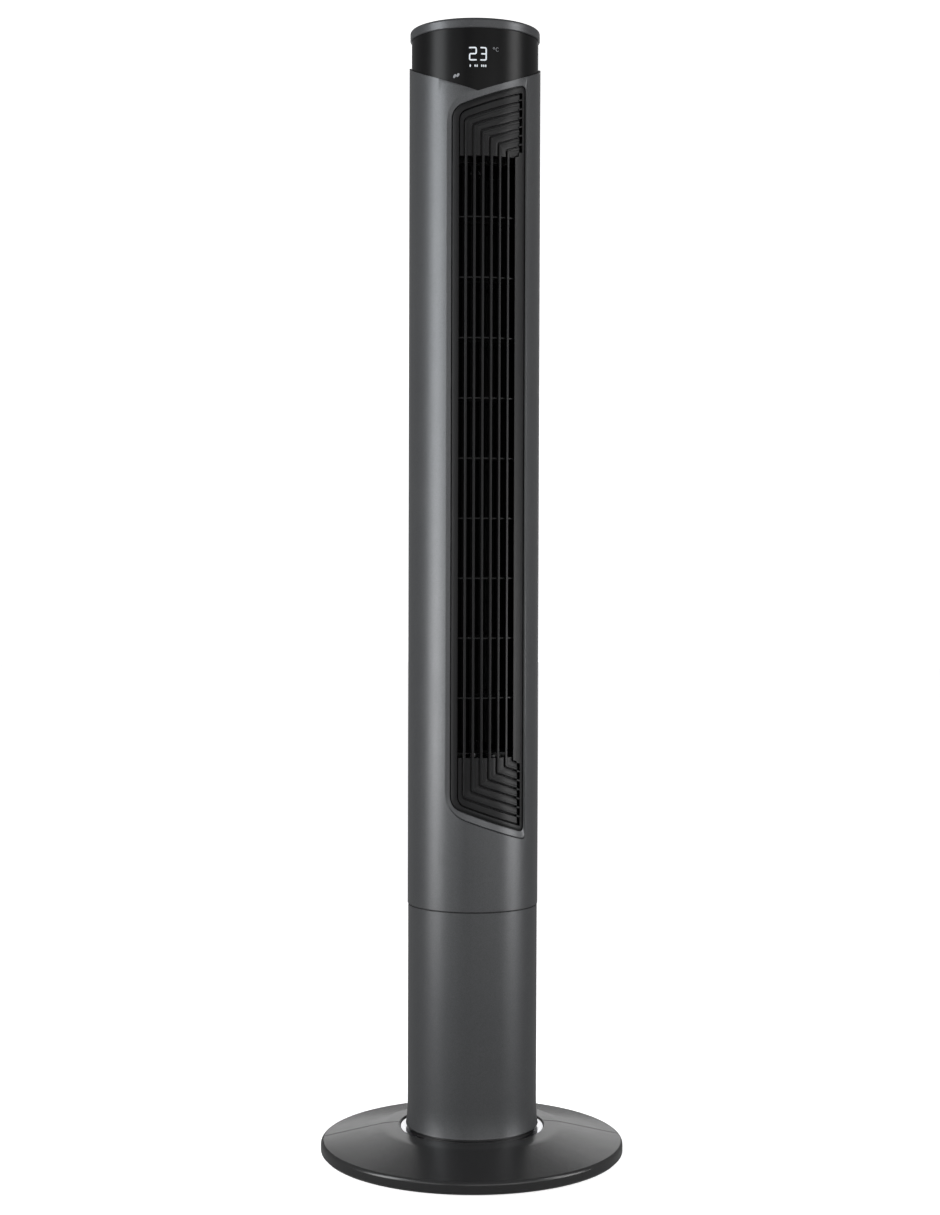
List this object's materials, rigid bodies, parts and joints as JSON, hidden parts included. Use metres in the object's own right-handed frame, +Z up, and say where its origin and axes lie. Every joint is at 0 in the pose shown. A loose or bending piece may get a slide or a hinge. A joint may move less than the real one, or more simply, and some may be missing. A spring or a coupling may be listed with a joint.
{
  "type": "tower fan",
  "caption": "Slim round tower fan on a disc base: tall side outlet grille, gloss display band, V-cut shell, swinging column, cross-flow wheel and top buttons.",
  "frame": {"origin": "centre of the base's footprint on the floor", "axes": "+Z up along the column, the display and air outlet face -Y, +X to the right of someone looking at the display"},
  "size_m": [0.3, 0.3, 1.107],
  "materials": {
    "shell_grey": "satin metallic grey",
    "window_black": "gloss",
    "grille_black": "satin",
    "base_black": "satin",
    "chrome_trim": "polished",
    "rubber": "matte",
    "steel": "zinc plated",
    "frame_plastic": "matte",
    "gear_plastic": "satin",
    "bearing_bronze": "machined",
    "motor_metal": "painted",
    "circuit_board": "lacquered",
    "display_led": "gloss",
    "button_plastic": "satin",
    "cable_sleeve": "matte"
  },
  "bodies": {
    "base": {"base_front_half": "base_black", "base_rear_half": "base_black", "rubber_feet": "rubber", "trim_ring": "chrome_trim", "pivot_plate": "steel", "base_screws": "steel", "slide_ring": "gear_plastic", "thrust_washer": "gear_plastic", "swing_gear": "gear_plastic", "retaining_nut": "frame_plastic", "cord_gland": "rubber"},
    "column": {"bearing_holder": "rubber", "board_bracket": "frame_plastic", "button_board": "circuit_board", "cable_clips": "grille_black", "cap_screws": "steel", "column_foot": "frame_plastic", "control_panel": "window_black", "coupler_ring": "frame_plastic", "coupler_screws": "steel", "digit_module": "display_led", "display_board": "circuit_board", "display_window": "window_black", "duct_tongue": "grille_black", "front_grille": "grille_black", "front_shell": "shell_grey", "lower_column": "shell_grey", "lower_end_plate": "grille_black", "motor_bearings": "bearing_bronze", "motor_bracket": "steel", "motor_lower_shield": "motor_metal", "motor_mounts": "rubber", "motor_screws": "steel", "motor_stator": "motor_metal", "motor_upper_shield": "motor_metal", "power_board": "circuit_board", "rear_shell": "shell_grey", "riser_cable": "cable_sleeve", "shell_screws": "steel", "swing_motor": "steel", "swing_motor_screws": "steel", "top_bearing": "bearing_bronze", "top_cap": "shell_grey", "upper_end_plate": "grille_black", "volute_wall": "grille_black"},
    "wheel": {"cross_flow_wheel": "grille_black", "wheel_hub": "rubber", "motor_shaft": "steel", "motor_rotor": "steel", "top_journal": "steel"},
    "pinion": {"swing_pinion": "gear_plastic", "swing_motor_shaft": "steel"},
    "power_button": {"power_button": "button_plastic"},
    "speed_button": {"speed_button": "button_plastic"},
    "mode_button": {"mode_button": "button_plastic"},
    "timer_button": {"timer_button": "button_plastic"},
    "swing_button": {"swing_button": "button_plastic"}
  },
  "joints": [
    {"name": "column_swing", "type": "hinge", "parent": "base", "child": "column", "pos_m": [0, 0, 0.022], "axis": [0, 0, 1], "range_deg": [-40, 40]},
    {"name": "pinion_turn", "type": "hinge", "parent": "column", "child": "pinion", "pos_m": [0, 0.036, 0.057], "axis": [0, 0, 1], "range_deg": [-205, 205]},
    {"name": "wheel_spin", "type": "hinge", "parent": "column", "child": "wheel", "pos_m": [0.002, 0.008, 0.4], "axis": [0, 0, 1], "continuous": true},
    {"name": "power_press", "type": "slide", "parent": "column", "child": "power_button", "axis": [0, 0, -1], "range_m": [0, 0.0008], "stiffness_N_per_m": 500, "springref_m": -0.0004},
    {"name": "speed_press", "type": "slide", "parent": "column", "child": "speed_button", "axis": [0, 0, -1], "range_m": [0, 0.0008], "stiffness_N_per_m": 500, "springref_m": -0.0004},
    {"name": "mode_press", "type": "slide", "parent": "column", "child": "mode_button", "axis": [0, 0, -1], "range_m": [0, 0.0008], "stiffness_N_per_m": 500, "springref_m": -0.0004},
    {"name": "timer_press", "type": "slide", "parent": "column", "child": "timer_button", "axis": [0, 0, -1], "range_m": [0, 0.0008], "stiffness_N_per_m": 500, "springref_m": -0.0004},
    {"name": "swing_press", "type": "slide", "parent": "column", "child": "swing_button", "axis": [0, 0, -1], "range_m": [0, 0.0008], "stiffness_N_per_m": 500, "springref_m": -0.0004}
  ],
  "couplings": [
    {"joint": "pinion_turn", "follows": "column_swing", "ratio": 5}
  ]
}
